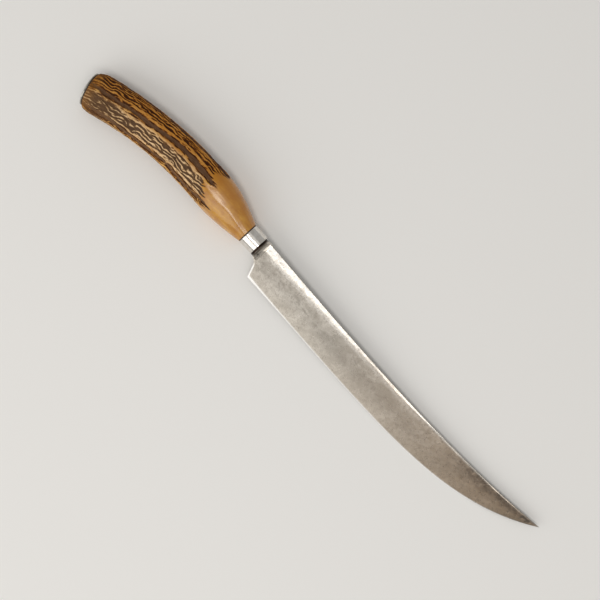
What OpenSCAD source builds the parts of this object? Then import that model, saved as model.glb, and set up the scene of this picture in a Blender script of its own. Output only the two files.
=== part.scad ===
// Carving knife with a stag-antler handle: a forged blade with a short bolster and a hidden tang,
// a plain ferrule, an antler handle bedded in cutler's cement, and a domed cap held by a spike.
//
// Every sub-part is drawn in the knife's own frame, in millimetres: X runs along the axis from the
// handle to the tip, with 0 at the front of the ferrule, Y points to the back of the blade, and Z is
// square to the blade's side. as_it_lies() then lays the knife down on its side, touching the table
// with the underside of the handle and the curve of the edge.

/* [Blade] */
// Length from the front of the ferrule to the tip
blade_len = 225; // [205:1:245]
// Deepest point of the edge below the axis
edge_drop = 19.8; // [18:0.1:21]
// Rise of the tip above the axis
tip_rise = 7.5; // [5:0.1:9]
// Rise of the back above the axis at the bolster
back_rise = 5.8; // [5.2:0.1:6]
// Angle at which the back falls away from the bolster
back_root_angle = 2.7; // [2:0.1:3.5]
// Angles at which the back and the edge reach the tip
back_tip_angle = 7.5; // [6:0.5:9]
edge_tip_angle = 36; // [32:1:40]
// Lowest point of the edge along the blade
belly_x = 105; // [98:1:112]
// Distance of the heel in front of the ferrule
heel_x = 7.3; // [7:0.1:9]
// Drop of the heel below the axis
heel_drop = 17.5; // [16.5:0.1:17.8]
// Thickness of the blade at the bolster, on the ridge of the swage
blade_t = 3; // [2.8:0.1:3.4]
// Angle of each bevel of the cutting edge
bevel_angle = 20; // [16:1:24]
// Angle of the swage that thins the back
swage_angle = 3.5; // [2:0.5:4]

/* [Bolster and tang] */
// Radius of the bolster
bolster_r = 6.1; // [5.9:0.1:6.3]
// Length of the bolster's round collar
bolster_len = 1.5; // [1.2:0.1:2]
// Radius of the hollow from the collar down to the blade's side
cove_r = 3.2; // [2.5:0.1:3.6]
// Length of the tang behind the bolster
tang_len = 75; // [60:1:78]

/* [Ferrule] */
// Outside radius of the ferrule
ferrule_r = 6.6; // [6.5:0.1:7]
// Wall of the ferrule
ferrule_wall = 0.7; // [0.5:0.1:0.8]
// Length of the ferrule
ferrule_len = 9.4; // [8:0.1:12]

/* [Handle] */
// Distance from the front of the ferrule back to the middle of the butt
handle_end = 130; // [125:1:135]
// Half of the handle's depth, in the plane of the blade
grip_half_depth = 12.3; // [11:0.1:13.5]
// Half of the handle's thickness, square to the blade
grip_half_thick = 10.3; // [9.8:0.1:11]
// Length of the polished taper behind the ferrule
taper_len = 31; // [26:1:36]
// How much slimmer the middle of the grip is than its ends, on each side
waist = 0.35; // [0:0.05:0.8]
// Height of the bow in the handle's centre line
bow = 2.8; // [1:0.1:4]
// How far the butt's middle lies below the top of the bow
butt_drop = 12.6; // [8:0.1:14]

/* [Butt cap] */
// Radius of the cap
cap_r = 10; // [9:0.1:10.3]
// Rise of the cap's dome
cap_dome = 2.2; // [1.6:0.1:3]
// Height of the cap's straight rim
cap_rim = 0.6; // [0.4:0.1:1]
// Length of the spike from the cap into the antler
spike_len = 26; // [18:1:30]

/* [Hidden] */
$fn = 64;

// Attitude of the knife as it lies on a table, in degrees, and where its origin then stands
lie_roll = 13.35;
lie_pitch = 1.68;
lie_at = [-45.35, 2.58, 8.66];

// The blade's sides are flat: half thickness = side_z - x * side_fall + y * side_rise
side_z = blade_t / 2;
side_fall = 0.0052;
side_rise = 0.038;
// Half thickness left at the cutting edge, and how far the cutters reach past it
edge_half = 0.06;
bevel_room = 2;
// Height of the swage's ridge at the bolster, and its rise for each millimetre along the blade
ridge_y = 0.3;
ridge_slope = 0.0085;
// Slope of the edge at the heel, and how far each end of the outline's curves pulls along its own direction
heel_angle = 0.6;
heel_pull = 28;
belly_rear_pull = 33;
belly_front_pull = 38;
edge_tip_pull = 46;
back_tip_pull = blade_len / 4;
back_root_pull = blade_len / 2;

// Joint lines of cement show as thin dark rings, set in a little from the metal beside them
seam = 0.6;
seam_inset = 0.3;
bolster_y = -0.5;
bolster_back = -0.9;
ferrule_back = bolster_back - ferrule_len;
ferrule_bore_r = ferrule_r - ferrule_wall;

// Depth and thickness of the tang at its two ends
tang_root = [5.2, 3];
tang_end = [2.4, 1.8];

// The antler fits the ferrule with a round tenon, and the cement fills the room around and before it
tenon_room = 0.5;
tenon_gap = 2.1;
handle_front = ferrule_back - seam;
handle_front_r = ferrule_r + 0.1;
tenon_r = ferrule_bore_r - tenon_room;
tenon_front = bolster_back - tenon_gap;
tang_bore_r = 3.6;
tang_bore_spare = 6;
tang_bore_end = bolster_back - tang_len - tang_bore_spare;

// Where the handle's centre line is highest, and the length over which the butt is rounded off
bow_x = -56;
butt_round = 7;
ring_sides = 28;

cap_wall = 0.8;
spike_r = 1.5;
spike_bore_r = 2.6;
spike_point = 5;
spike_tip_r = 0.3;
spike_pad = 0.9;

// Half the width, and the height, of the blocks that cut the blade's flat sides
block_half = 400;
block_high = 50;

// ---- curves ----

// A point of the cubic Bezier curve with the four control points p, at t from 0 to 1
function bezier(p, t) =
    pow(1 - t, 3) * p[0] + 3 * pow(1 - t, 2) * t * p[1] + 3 * (1 - t) * t * t * p[2] + pow(t, 3) * p[3];

// Points along a Bezier curve in n steps, without its last point
function bezier_run(p, n) = [for (i = [0 : n - 1]) bezier(p, i / n)];

// A step of the given length at an angle to the axis
function toward(length, angle) = length * [cos(angle), sin(angle)];

tip = [blade_len, tip_rise];
heel = [heel_x, -heel_drop];
belly = [belly_x, -edge_drop];
back_root = [0, back_rise];
back_curve = [tip, tip - toward(back_tip_pull, back_tip_angle),
              back_root + toward(back_root_pull, -back_root_angle), back_root];
edge_rear = [heel, heel + toward(heel_pull, -heel_angle), belly - [belly_rear_pull, 0], belly];
edge_front = [belly, belly + [belly_front_pull, 0], tip - toward(edge_tip_pull, edge_tip_angle), tip];
choil = [[0, -6.4], [3.9, -7.4], [4.8, -10.8], heel];

edge_run = concat(bezier_run(edge_rear, 4), bezier_run(edge_front, 11));
edge_points = concat(edge_run, [tip]);
plate_root = [for (up = [1, -1]) [bolster_back, bolster_y + up * 0.9 * bolster_r]];
blade_outline = concat(bezier_run(choil, 8), edge_run, bezier_run(back_curve, 20),
                       [back_root], plate_root);

// Height of the handle's centre line above the knife's axis
function centre_y(x) =
    x > bow_x ? bow * (1 - pow((x - bow_x) / (handle_front - bow_x), 2))
              : bow - butt_drop * pow((x - bow_x) / (handle_end + bow_x), 2);

// Share of the front taper passed at x, from 0 at the ferrule to 1 where the full grip starts
function taper(x) = min(1, (handle_front - x) / taper_len);

// Share of the grip passed at x, from 0 at the end of the taper to 1 at the butt
function grip(x) = max(0, (handle_front - taper_len - x) / (handle_end + handle_front - taper_len));

// Turn of the handle's cross-section about Z, square to its centre line but square to X at the front
function lean(x) = 0.9 * taper(x) * atan(centre_y(x + 0.5) - centre_y(x - 0.5));

// How far the butt's rounding has closed at x, from 0 to 1
function closing(x) = 1 - sqrt(1 - pow(max(0, 1 - (handle_end + x) / butt_round), 2));

function half_depth(x) =
    let (full = handle_front_r + (grip_half_depth - handle_front_r) * sin(90 * taper(x))
              - waist * pow(sin(180 * grip(x)), 2))
    full - (full - cap_r - 0.2) * closing(x);

function half_thick(x) =
    let (full = handle_front_r + (grip_half_thick - handle_front_r) * sin(90 * taper(x)))
    full - (full - cap_r - 0.1) * closing(x);

function ring(x) = [for (i = [0 : ring_sides - 1])
    let (a = 360 * i / ring_sides, d = half_depth(x) * cos(a))
    [x - d * sin(lean(x)), centre_y(x) + d * cos(lean(x)), half_thick(x) * sin(a)]];

// Stations along the handle: close together on the front taper and on the butt's rounding
stations = concat([for (i = [0 : 9]) handle_front - taper_len * i / 10],
                  [for (i = [0 : 15]) handle_front - taper_len
                      - (handle_end - butt_round + handle_front - taper_len) * i / 16],
                  [for (i = [0 : 6]) -handle_end + butt_round * (1 - sin(15 * i))]);

// ---- helpers ----

module as_it_lies() translate(lie_at) rotate([lie_roll, lie_pitch, 0]) children();

// A cylinder along X from x0 to x1
module rod(r, x0, x1) translate([x0, 0, 0]) rotate([0, 90, 0]) cylinder(r = r, h = x1 - x0);

// Everything above a plane through p that rises rise_y degrees along Y and falls fall_x along X
module above(p, rise_y, fall_x = 0)
    translate(p) rotate([rise_y, fall_x, 0]) translate([-block_half, -block_half, 0])
        cube([2 * block_half, 2 * block_half, block_high]);

// The frame of the butt: the middle of the antler's sawn end, with X along the handle to the front
module at_butt()
    translate([-handle_end, centre_y(-handle_end), 0]) rotate([0, 0, lean(-handle_end)]) children();

// A dome along -X on a straight rim, from x = 0
module dome(r, rim, rise) {
    sphere_r = (r * r + rise * rise) / (2 * rise);
    rod(r, -rim, 0);
    intersection() {
        translate([sphere_r - rim - rise, 0, 0]) sphere(sphere_r, $fn = 128);
        rod(r, -rim - rise, -rim / 2);
    }
}

// A bar along X whose depth and thickness change evenly from root at x0 to end at x1
module tapered_bar(root, end, x0, x1)
    intersection() {
        translate([0, 0, -root[1]]) linear_extrude(2 * root[1])
            polygon([[x0, root[0] / 2], [x0, -root[0] / 2], [x1, -end[0] / 2], [x1, end[0] / 2]]);
        rotate([90, 0, 0]) translate([0, 0, -root[0]]) linear_extrude(2 * root[0])
            polygon([[x0, root[1] / 2], [x0, -root[1] / 2], [x1, -end[1] / 2], [x1, end[1] / 2]]);
    }

// ---- sub-parts ----

module tang() tapered_bar(tang_root, tang_end, bolster_back + 0.5, bolster_back - tang_len);

// What one bevel of the edge takes away along the stretch from a to b
module edge_bevel(a, b) {
    along = b - a;
    translate([a[0], a[1], edge_half]) rotate([bevel_angle, 0, atan2(along[1], along[0])])
        translate([-1, -bevel_room, 0]) cube([norm(along) + 2, 3 * bevel_room, 2 * blade_t]);
}

module blade_plate()
    difference() {
        translate([0, 0, -blade_t]) linear_extrude(2 * blade_t) polygon(blade_outline);
        for (side = [0, 1]) mirror([0, 0, side]) {
            above([0, 0, side_z], atan(side_rise), atan(side_fall));
            translate([0, ridge_y, side_z]) rotate([0, 0, atan(ridge_slope)])
                above([0, 0, 0], -swage_angle, atan(side_fall));
            for (i = [0 : len(edge_points) - 2]) edge_bevel(edge_points[i], edge_points[i + 1]);
        }
    }

module bolster()
    translate([0, bolster_y, 0]) difference() {
        rod(bolster_r, bolster_back, bolster_back + bolster_len + cove_r);
        for (side = [0, 1]) mirror([0, 0, side])
            translate([bolster_back + bolster_len + cove_r, 0, side_z + cove_r]) {
                rotate([90, 0, 0]) cylinder(r = cove_r, h = 4 * bolster_r, center = true);
                translate([-cove_r, -2 * bolster_r, 0]) cube([2 * cove_r, 4 * bolster_r, 2 * bolster_r]);
            }
    }

module blade() color([0.70, 0.68, 0.65]) as_it_lies() {
    blade_plate();
    bolster();
    tang();
}

module ferrule() color([0.86, 0.86, 0.85]) as_it_lies() difference() {
    rod(ferrule_r, ferrule_back, bolster_back);
    rod(ferrule_bore_r, ferrule_back - 1, bolster_back + 1);
}

module tenon() rod(tenon_r, handle_front - 1, tenon_front);

module tang_bore() rod(tang_bore_r, tang_bore_end, tenon_front);

module spike_bore() rod(spike_bore_r, -1, spike_len + 1);

// The antler itself, as a tube of rings closed at both ends
module antler() {
    n = ring_sides;
    last = len(stations) - 1;
    polyhedron(
        points = [for (x = stations) each ring(x)],
        faces = concat(
            [for (s = [0 : last - 1], i = [0 : n - 1])
                each [[s * n + i, s * n + (i + 1) % n, (s + 1) * n + i],
                      [s * n + (i + 1) % n, (s + 1) * n + (i + 1) % n, (s + 1) * n + i]]],
            [[for (i = [n - 1 : -1 : 0]) i]],
            [[for (i = [0 : n - 1]) last * n + i]]));
}

module handle() color([0.62, 0.45, 0.25]) as_it_lies() difference() {
    union() {
        antler();
        tenon();
    }
    tang_bore();
    at_butt() spike_bore();
}

// The hollow inside the cap, with a flat pad at its crown where the spike is soldered on
module cap_hollow() intersection() {
    dome(cap_r - cap_wall, cap_rim, cap_dome - cap_wall);
    rod(cap_r, -cap_rim - cap_dome + cap_wall + spike_pad, 0);
}

module at_cap() at_butt() translate([-seam, 0, 0]) children();

module butt_cap() color([0.86, 0.86, 0.85]) as_it_lies() at_cap() difference() {
    dome(cap_r, cap_rim, cap_dome);
    cap_hollow();
    rod(cap_r - cap_wall, -0.001, 1);
}

module spike() {
    pad_x = -cap_rim - cap_dome + cap_wall + spike_pad;
    rod(spike_r, pad_x, spike_len - spike_point);
    translate([spike_len - spike_point, 0, 0]) rotate([0, 90, 0])
        cylinder(r1 = spike_r, r2 = spike_tip_r, h = spike_point);
}

module cap_spike() color([0.55, 0.54, 0.52]) as_it_lies() at_cap() spike();

module tang_cement() color([0.16, 0.10, 0.07]) as_it_lies() difference() {
    union() {
        rod(ferrule_bore_r, ferrule_back, bolster_back);
        rod(ferrule_r - seam_inset, handle_front, ferrule_back);
        tang_bore();
    }
    difference() {
        tenon();
        tang_bore();
    }
    tang();
}

module cap_cement() color([0.16, 0.10, 0.07]) as_it_lies() difference() {
    union() {
        at_cap() cap_hollow();
        at_cap() rod(cap_r - seam_inset, 0, seam);
        at_butt() rod(spike_bore_r, -0.1, spike_len + 1);
    }
    at_cap() spike();
}

blade();
ferrule();
handle();
butt_cap();
cap_spike();
tang_cement();
cap_cement();
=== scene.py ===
"""The looks of a carving knife: patinated forged blade, nickel silver ferrule and cap, stag-antler handle.

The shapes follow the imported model. They are worked out in the knife's own frame, in millimetres: X runs
along the axis from the handle to the tip with 0 at the front of the ferrule, Y points to the back of the
blade and Z is square to the blade's side. lay_down() then takes them to the frame of the part, in metres.
"""

import math

import bpy
import numpy as np
from mathutils import Matrix, Vector


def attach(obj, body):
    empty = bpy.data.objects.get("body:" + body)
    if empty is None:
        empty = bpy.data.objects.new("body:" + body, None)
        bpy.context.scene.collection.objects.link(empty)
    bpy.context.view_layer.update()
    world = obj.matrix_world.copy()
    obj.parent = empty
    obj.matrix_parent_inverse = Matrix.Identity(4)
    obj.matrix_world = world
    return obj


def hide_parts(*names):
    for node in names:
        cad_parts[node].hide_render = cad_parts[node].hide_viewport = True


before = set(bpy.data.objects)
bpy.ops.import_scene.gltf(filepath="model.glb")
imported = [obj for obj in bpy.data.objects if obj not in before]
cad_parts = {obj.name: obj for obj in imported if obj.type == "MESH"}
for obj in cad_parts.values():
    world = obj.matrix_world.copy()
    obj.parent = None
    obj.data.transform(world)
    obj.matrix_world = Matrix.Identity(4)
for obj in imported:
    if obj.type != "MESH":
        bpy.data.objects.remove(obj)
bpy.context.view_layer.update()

MM = 0.001

# ---- the knife's own frame, as the CAD lays it on the table ----

LIE_ROLL = math.radians(13.35)
LIE_PITCH = math.radians(1.68)
LIE_AT = Vector((-45.35, 2.58, 8.66))
LIE = Matrix.Translation(LIE_AT) @ Matrix.Rotation(LIE_PITCH, 4, "Y") @ Matrix.Rotation(LIE_ROLL, 4, "X")

# ---- driving sizes, as in the CAD ----

BLADE_LEN = 225.0
EDGE_DROP = 19.8
TIP_RISE = 7.5
BACK_RISE = 5.8
HEEL = (7.3, -17.5)
SIDE_Z, SIDE_FALL, SIDE_RISE = 1.5, 0.0052, 0.038
BOLSTER_R, BOLSTER_Y, BOLSTER_BACK, BOLSTER_FRONT, COVE_R = 6.1, -0.5, -0.9, 0.6, 3.2
TANG_LEN, TANG_ROOT, TANG_END = 75.0, (2.6, 1.5), (1.2, 0.9)
FERRULE_R, FERRULE_WALL, FERRULE_LEN = 6.6, 0.7, 9.4
SEAM = 0.6
HANDLE_END = 130.0
GRIP_HALF_DEPTH, GRIP_HALF_THICK = 12.3, 10.3
TAPER_LEN, WAIST = 31.0, 0.35
BOW, BOW_X, BUTT_DROP, BUTT_ROUND = 2.8, -56.0, 12.6, 7.0
CAP_R, CAP_DOME, CAP_RIM, CAP_WALL = 10.0, 2.2, 0.6, 0.8
SPIKE_BORE_R, SPIKE_LEN, SPIKE_PAD = 2.6, 26.0, 0.9
TENON_R, TENON_FRONT, TANG_BORE_R, TANG_BORE_END = 5.4, -3.0, 3.6, -81.9

FERRULE_BACK = BOLSTER_BACK - FERRULE_LEN
HANDLE_FRONT = FERRULE_BACK - SEAM
HANDLE_FRONT_R = FERRULE_R + 0.1


def lay_down(points):
    """Points of the knife's own frame, in millimetres, as points of the part's frame, in metres."""
    m = np.array(LIE)
    return (points @ m[:3, :3].T + m[:3, 3]) * MM


def smoothstep(low, high, x):
    t = np.clip((x - low) / (high - low), 0, 1)
    return t * t * (3 - 2 * t)


def bezier(a, b, c, d, steps):
    """Points along a cubic Bezier curve, both ends included."""
    t = np.linspace(0, 1, steps + 1)[:, None]
    a, b, c, d = (np.array(p, float) for p in (a, b, c, d))
    return (1 - t) ** 3 * a + 3 * (1 - t) ** 2 * t * b + 3 * (1 - t) * t * t * c + t**3 * d


def soft_noise(shape, step, wavelength, stretch, seed, width=0.6):
    """Seeded smooth noise on a grid: one wavelength across, stretched along the rows, deviation of 1."""
    rng = np.random.default_rng(seed)
    field = np.fft.fft2(rng.standard_normal(shape))
    return unit(np.fft.ifft2(field * band(shape, step, wavelength, stretch, width)).real)


def band(shape, step, wavelength, stretch, width=0.35):
    """A filter that passes waves near one wavelength across the columns, and longer ones along the rows."""
    along = np.fft.fftfreq(shape[0], step[0])[:, None] * stretch
    across = np.fft.fftfreq(shape[1], step[1])[None, :]
    return np.exp(-(((np.hypot(along, across) * wavelength - 1) / width) ** 2))


def grain(shape, step, wavelength, spread, width=0.4):
    """A filter that passes lines of one wavelength along the rows, within a spread in degrees."""
    along = np.abs(np.fft.fftfreq(shape[0], step[0]))[:, None]
    across = np.abs(np.fft.fftfreq(shape[1], step[1]))[None, :]
    off = np.degrees(np.arctan2(along, across + 1e-9))
    return np.exp(-(((np.hypot(along, across) * wavelength - 1) / width) ** 2) - (off / spread) ** 2)


def unit(field):
    return field / field.std()


# ---- meshes from rings of points ----


def ring_mesh(name, rings, values=None, closed=True, sharp=30, uv_rows=None, uv_cols=None):
    """A mesh from rings of points, rows x columns x 3, with a cap at each end.

    Where closed is False there are no caps, and the last row joins the first.

    values holds rows x columns arrays that become attributes of the points for the material to read.
    """
    rows, cols = rings.shape[:2]
    points = lay_down(rings.reshape(-1, 3))
    next_col = (np.arange(cols) + 1) % cols
    row_pairs = [(i, i + 1) for i in range(rows - 1)]
    if not closed:
        row_pairs.append((rows - 1, 0))
    faces, uvs = [], []
    u = np.linspace(0, 1, rows) if uv_rows is None else uv_rows
    v = np.linspace(0, 1, cols + 1) if uv_cols is None else uv_cols
    for i, k in row_pairs:
        quads = np.stack([i * cols + np.arange(cols), k * cols + np.arange(cols), k * cols + next_col,
                          i * cols + next_col], 1)
        faces.append(quads)
        ends = (u[i], u[k] if k else 1.0)
        corner = [(ends[0], v[:-1]), (ends[1], v[:-1]), (ends[1], v[1:]), (ends[0], v[1:])]
        uvs.append(np.stack([np.stack([np.full(cols, a), b], 1) for a, b in corner], 1))
    faces, uvs = np.concatenate(faces), np.concatenate(uvs)

    mesh = bpy.data.meshes.new(name)
    all_points = points
    if closed:
        all_points = np.vstack([points, points[:cols].mean(0), points[-cols:].mean(0)])
    mesh.vertices.add(len(all_points))
    mesh.vertices.foreach_set("co", all_points.astype(np.float32).ravel())
    loops = faces.ravel()
    starts = np.arange(len(faces)) * 4
    if closed:
        first, last = len(points), len(points) + 1
        base = (rows - 1) * cols
        head = np.stack([np.full(cols, first), np.arange(cols), next_col], 1)
        tail = np.stack([np.full(cols, last), base + next_col, base + np.arange(cols)], 1)
        fan = np.concatenate([head, tail])
        starts = np.concatenate([starts, len(loops) + np.arange(len(fan)) * 3])
        loops = np.concatenate([loops, fan.ravel()])
        fan_uv = np.zeros((len(fan) * 3, 2))
        fan_uv[cols * 3:, 0] = 1.0
        uv_all = np.concatenate([uvs.reshape(-1, 2), fan_uv])
    else:
        uv_all = uvs.reshape(-1, 2)
    mesh.loops.add(len(loops))
    mesh.loops.foreach_set("vertex_index", loops.astype(np.int32))
    mesh.polygons.add(len(starts))
    mesh.polygons.foreach_set("loop_start", starts.astype(np.int32))
    mesh.update(calc_edges=True)
    layer = mesh.uv_layers.new(name="OFBake")
    layer.data.foreach_set("uv", uv_all.astype(np.float32).ravel())
    for key, field in (values or {}).items():
        attribute = mesh.attributes.new(key, "FLOAT", "POINT")
        flat = field.reshape(-1)
        if closed:
            flat = np.concatenate([flat, [field[0].mean(), field[-1].mean()]])
        attribute.data.foreach_set("value", flat.astype(np.float32))
    mesh.validate()
    mesh.polygons.foreach_set("use_smooth", np.ones(len(mesh.polygons), bool))
    mesh.set_sharp_from_angle(angle=math.radians(sharp))
    piece = bpy.data.objects.new(name, mesh)
    bpy.context.scene.collection.objects.link(piece)
    return piece


def circle_ring(x, radius, angles, y=0.0):
    """A ring square to the axis, at x."""
    return np.stack([np.full_like(angles, x), y + radius * np.cos(angles), radius * np.sin(angles)], -1)


def lathe_rings(profile, cols):
    """Rings from a profile of (x, radius) pairs turned about the axis."""
    angles = np.arange(cols) / cols * 2 * math.pi
    return np.stack([circle_ring(x, r, angles) for x, r in profile])


def place(piece, node):
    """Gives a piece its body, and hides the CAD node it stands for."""
    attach(piece, "root")
    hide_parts(node)
    return piece


# ---- node materials ----


class Nodes:
    """Short calls that add nodes to one material."""

    def __init__(self, name):
        self.material = bpy.data.materials.new(name)
        self.material.use_nodes = True
        self.tree = self.material.node_tree
        self.shader = self.tree.nodes["Principled BSDF"]

    def add(self, kind, inputs=None, **settings):
        node = self.tree.nodes.new(kind)
        for key, value in settings.items():
            setattr(node, key, value)
        for key, value in (inputs or {}).items():
            self.put(node, key, value)
        return node

    def put(self, node, key, value):
        """A socket's value, or a link from another node's first output or from a socket."""
        if isinstance(value, bpy.types.NodeSocket):
            self.tree.links.new(value, node.inputs[key])
        elif isinstance(value, bpy.types.Node):
            self.tree.links.new(value.outputs[0], node.inputs[key])
        else:
            node.inputs[key].default_value = value

    def set(self, **inputs):
        for key, value in inputs.items():
            self.put(self.shader, key.replace("_", " "), value)

    def attribute(self, name):
        return self.add("ShaderNodeAttribute", attribute_name=name).outputs["Fac"]

    def place_in_mm(self, scale=(1, 1, 1), turn=0):
        """The object's own coordinates in millimetres, turned by some degrees about Z and then scaled."""
        coords = self.add("ShaderNodeTexCoord").outputs["Object"]
        turned = self.add("ShaderNodeMapping", {"Vector": coords, "Rotation": (0, 0, math.radians(turn))})
        return self.add("ShaderNodeMapping", {"Vector": turned, "Scale": [s / MM for s in scale]}).outputs[0]

    def noise(self, vector, scale, detail=3.0, rough=0.55, distortion=0.0):
        return self.add("ShaderNodeTexNoise", {"Vector": vector, "Scale": scale, "Detail": detail,
                                               "Roughness": rough, "Distortion": distortion}).outputs[0]

    def ramp(self, factor, *stops):
        """A colour ramp through (place, grey or colour) stops."""
        node = self.add("ShaderNodeValToRGB", {"Fac": factor})
        elements = node.color_ramp.elements
        while len(elements) < len(stops):
            elements.new(0.5)
        for element, (at, colour) in zip(elements, stops):
            element.position = at
            element.color = (*colour, 1) if isinstance(colour, tuple) else (colour, colour, colour, 1)
        return node.outputs[0]

    def mix(self, factor, a, b, blend="MIX"):
        node = self.add("ShaderNodeMix", data_type="RGBA", blend_type=blend)
        for index, value in ((0, factor), (6, a), (7, b)):
            if isinstance(value, bpy.types.NodeSocket):
                self.tree.links.new(value, node.inputs[index])
            else:
                node.inputs[index].default_value = (*value, 1) if isinstance(value, tuple) else value
        return node.outputs[2]

    def tint(self, base, colour, mask, amount=1.0):
        """The base with a colour over it where the mask is, as strongly as the amount."""
        if amount != 1.0:
            mask = self.math("MULTIPLY", mask, amount)
        return self.mix(mask, base, colour)

    def math(self, operation, a, b=0.0, clamp=False):
        node = self.add("ShaderNodeMath", operation=operation, use_clamp=clamp)
        self.put(node, 0, a)
        self.put(node, 1, b)
        return node.outputs[0]

    def bump(self, height, strength, distance, normal=None):
        inputs = {"Height": height, "Strength": strength, "Distance": distance}
        if normal is not None:
            inputs["Normal"] = normal
        return self.add("ShaderNodeBump", inputs).outputs[0]


# ---- handle ----

BARK_ROWS, BARK_COLS = 400, 240
MEAN_RADIUS = 11.2
GIRTH = 2 * math.pi * MEAN_RADIUS
# Share of the centre line's slope that the handle's rings lean over
LEAN = 0.9
# How far the sawn end stands past the cap, in the plane of the blade and square to it
BUTT_PAST_CAP = (0.2, 0.1)
# Distances between the bark's long lines and between its short crooked ones, and its depth
LINE_SPACING, WORM_SPACING = 1.95, 2.3
BARK_DEPTH, DEEPEST = 0.62, 1.1
# Depth that the scraper took off the front, and where the bark grows darker towards the butt
SCRAPE_DEPTH = 1.05
REAR_FROM, REAR_TO = -96, -122


def centre_y(x):
    front = BOW * (1 - ((x - BOW_X) / (HANDLE_FRONT - BOW_X)) ** 2)
    rear = BOW - BUTT_DROP * ((x - BOW_X) / (HANDLE_END + BOW_X)) ** 2
    return np.where(x > BOW_X, front, rear)


def taper(x):
    return np.minimum(1, (HANDLE_FRONT - x) / TAPER_LEN)


def grip(x):
    return np.maximum(0, (HANDLE_FRONT - TAPER_LEN - x) / (HANDLE_END + HANDLE_FRONT - TAPER_LEN))


def lean(x):
    return LEAN * taper(x) * np.arctan(centre_y(x + 0.5) - centre_y(x - 0.5))


def closing(x):
    return 1 - np.sqrt(1 - np.maximum(0, 1 - (HANDLE_END + x) / BUTT_ROUND) ** 2)


def half_depth(x):
    full = (HANDLE_FRONT_R + (GRIP_HALF_DEPTH - HANDLE_FRONT_R) * np.sin(math.pi / 2 * taper(x))
            - WAIST * np.sin(math.pi * grip(x)) ** 2)
    return full - (full - CAP_R - BUTT_PAST_CAP[0]) * closing(x)


def half_thick(x):
    full = HANDLE_FRONT_R + (GRIP_HALF_THICK - HANDLE_FRONT_R) * np.sin(math.pi / 2 * taper(x))
    return full - (full - CAP_R - BUTT_PAST_CAP[1]) * closing(x)


def around(angle, centre, half_width, edge=0.35):
    """1 inside a stretch of the handle's girth and 0 outside it, angles in degrees, with soft edges."""
    away = np.abs((angle - centre + 180) % 360 - 180)
    return 1 - smoothstep(half_width * (1 - edge), half_width * (1 + edge), away)


# Lines of the bark: places along them as (x in millimetres, angle round the girth, half width in degrees),
# and before each furrow its depth. Angles are 0 at the blade's back, 90 straight up as the knife lies and 180
# on the side of the edge.
FURROWS = [
    (0.85, [(-130, 76, 2), (-124, 81, 4.5), (-106, 80, 4), (-97, 81, 5.5), (-85, 79, 4.5), (-70, 76, 6),
            (-56, 80, 6.5), (-47, 80, 4.5), (-39, 81, 2)]),
    (0.75, [(-130, 141, 4), (-115, 144, 6.5), (-97, 150, 5.5), (-84, 148, 4.5), (-70, 143, 4.5),
            (-57, 151, 5.5), (-45, 143, 3.5), (-33, 143, 3)]),
    (0.60, [(-130, 14, 6), (-95, 12, 7), (-70, 20, 9), (-40, 16, 7)]),
    (0.80, [(-130, 208, 6), (-90, 214, 8), (-60, 210, 6.5), (-38, 213, 5)]),
    (0.70, [(-130, 268, 5), (-85, 263, 6.5), (-38, 268, 5)]),
    (0.85, [(-130, 316, 6), (-80, 321, 8), (-38, 317, 6)]),
]
RIDGES = [
    [(-130, 62, 4), (-110, 67, 4.2), (-83, 67, 4.2), (-70, 62, 4), (-56, 66, 4.2), (-38, 68, 3.5)],
    [(-130, 90, 3.5), (-112, 93, 5), (-97, 96, 3.5), (-84, 91, 6), (-70, 89, 4.5), (-56, 94, 4),
     (-38, 94, 3.5)],
    [(-130, 130, 2), (-97, 134, 2.8), (-84, 135, 3.4), (-70, 131, 3.6), (-56, 131, 3.6), (-38, 130, 3)],
    [(-130, 163, 4), (-115, 164, 4), (-97, 172, 4), (-84, 169, 4), (-70, 160, 4), (-57, 170, 5),
     (-38, 165, 5)],
    [(-130, 42, 2), (-100, 40, 3), (-70, 36, 3), (-38, 41, 3)],
    [(-130, 224, 3), (-80, 227, 3.5), (-38, 223, 3.5)],
    [(-130, 280, 3.5), (-75, 276, 4.5), (-38, 279, 3.5)],
    [(-130, 304, 3), (-90, 308, 4), (-38, 304, 3)],
    [(-130, 333, 4), (-70, 336, 4.5), (-38, 331, 3.5)],
]
# Stretches of the girth with short crooked lines: (angle, half width)
KNOBBLY = [(115, 21), (180, 14), (245, 14), (292, 11)]
# How far forward the bark reaches at each angle before the scraped taper
BARK_ENDS = [(0, -37.5), (27, -38), (43, -42), (55, -43.5), (66, -42.5), (80, -38.5), (91, -43),
             (103, -44), (113, -42), (124, -38.5), (132, -41), (144, -31.5), (159, -35), (182, -40),
             (212, -34), (240, -42), (266, -38), (290, -42), (318, -35), (345, -40), (360, -37.5)]


def along(track, x):
    """Angle and half width of a line of the bark at each x."""
    at, middle, half_width = np.array(track, float).T
    return np.interp(x, at, middle)[:, None], np.interp(x, at, half_width)[:, None]


def bend(field, cols_off):
    """The field read at places moved round the handle by so many columns."""
    rows, cols = field.shape
    j = np.arange(cols)[None, :] + cols_off
    j0 = np.floor(j).astype(int)
    i = np.arange(rows)[:, None]
    return field[i, j0 % cols] * (1 - j + j0) + field[i, (j0 + 1) % cols] * (j - j0)


def maze(shape, step, wavelength, spread, rounds, seed, pull):
    """Ridges (1) and furrows (-1) that branch and run together, grown out of seeded noise."""
    field = np.random.default_rng(seed).standard_normal(shape)
    passes = grain(shape, step, wavelength, spread) + 0.35 * grain(shape, step, wavelength * 0.55, spread)
    for _ in range(rounds):
        field = unit(np.fft.ifft2(np.fft.fft2(np.tanh(1.5 * field)) * passes).real) + pull
    return np.tanh(1.15 * field)


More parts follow.
